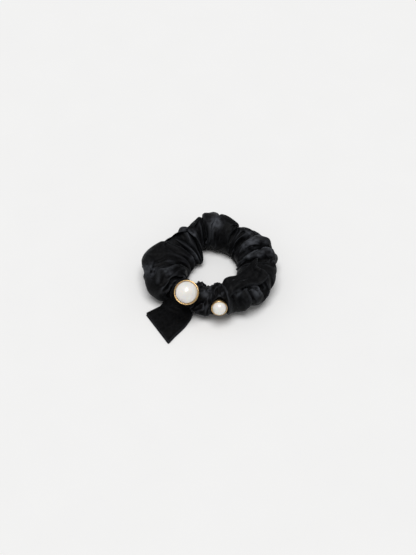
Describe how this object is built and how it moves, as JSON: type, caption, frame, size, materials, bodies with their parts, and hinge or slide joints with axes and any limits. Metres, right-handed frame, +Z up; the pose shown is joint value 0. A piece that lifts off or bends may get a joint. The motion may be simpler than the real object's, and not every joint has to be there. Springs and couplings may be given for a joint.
{
  "type": "scrunchie",
  "caption": "Black velvet scrunchie with a knotted bow at the front, two short tails and two pearls in gold-tone cups.",
  "frame": {"origin": "middle of the hair opening, at the middle of its height", "axes": "+Z up along the hair opening's axis, -Y towards the front with the pearls and the tail, +X to the right"},
  "size_m": [0.0991, 0.1094, 0.0333],
  "materials": {
    "velvet": "matt cut pile with a soft sheen",
    "thread": "matt twisted thread",
    "elastic": "matt braided elastic",
    "pearl": "pearlescent gloss",
    "gold": "polished gold tone",
    "glue": "clear"
  },
  "bodies": {
    "cover": {"velvet_cover": "velvet", "long_seam_stitches": "thread", "closing_seam_stitches": "thread", "bow_knot": "velvet", "knot_wrap": "velvet", "knot_wrap_stitches": "thread", "left_tail_root": "velvet", "right_tail_root": "velvet"},
    "elastic": {"elastic_band": "elastic", "elastic_splice_stitches": "thread"},
    "left_tail": {"left_tail_top_ply": "velvet", "left_tail_bottom_ply": "velvet", "left_tail_stitches": "thread"},
    "right_tail": {"right_tail_top_ply": "velvet", "right_tail_bottom_ply": "velvet", "right_tail_stitches": "thread"},
    "large_thread": {"large_pearl_thread": "thread"},
    "large_button": {"large_pearl": "pearl", "large_pearl_glue": "glue", "large_pearl_cup": "gold", "large_pearl_shank": "gold"},
    "small_thread": {"small_pearl_thread": "thread"},
    "small_button": {"small_pearl": "pearl", "small_pearl_glue": "glue", "small_pearl_cup": "gold", "small_pearl_shank": "gold"}
  },
  "joints": [
    {"name": "left_tail_lift", "type": "hinge", "parent": "cover", "child": "left_tail", "pos_m": [-0.0231, -0.03675, -0.01025], "axis": [-0.9126, 0.4089, 0], "range_deg": [0, 60]},
    {"name": "right_tail_lift", "type": "hinge", "parent": "cover", "child": "right_tail", "pos_m": [0.0111, -0.02895, 0.01395], "axis": [0.3566, -0.9343, 0], "range_deg": [0, 60]},
    {"name": "large_pearl_twist", "type": "hinge", "parent": "cover", "child": "large_thread", "pos_m": [-0.01479, -0.03028, 0.00393], "axis": [-0.1485, -0.554, 0.8192], "range_deg": [-25, 25]},
    {"name": "large_pearl_rock", "type": "hinge", "parent": "large_thread", "child": "large_button", "pos_m": [-0.01513, -0.03155, 0.00581], "axis": [0.9659, -0.2588, 0], "range_deg": [-10, 10]},
    {"name": "small_pearl_twist", "type": "hinge", "parent": "cover", "child": "small_thread", "pos_m": [0.00581, -0.03499, 0.00164], "axis": [0.0328, -0.9391, 0.342], "range_deg": [-25, 25]},
    {"name": "small_pearl_rock", "type": "hinge", "parent": "small_thread", "child": "small_button", "pos_m": [0.00587, -0.03681, 0.00231], "axis": [0.9994, 0.0349, 0], "range_deg": [-10, 10]},
    {"name": "elastic_creep", "type": "hinge", "parent": "cover", "child": "elastic", "pos_m": [0, 0, 0], "axis": [0, 0, 1], "continuous": true}
  ]
}
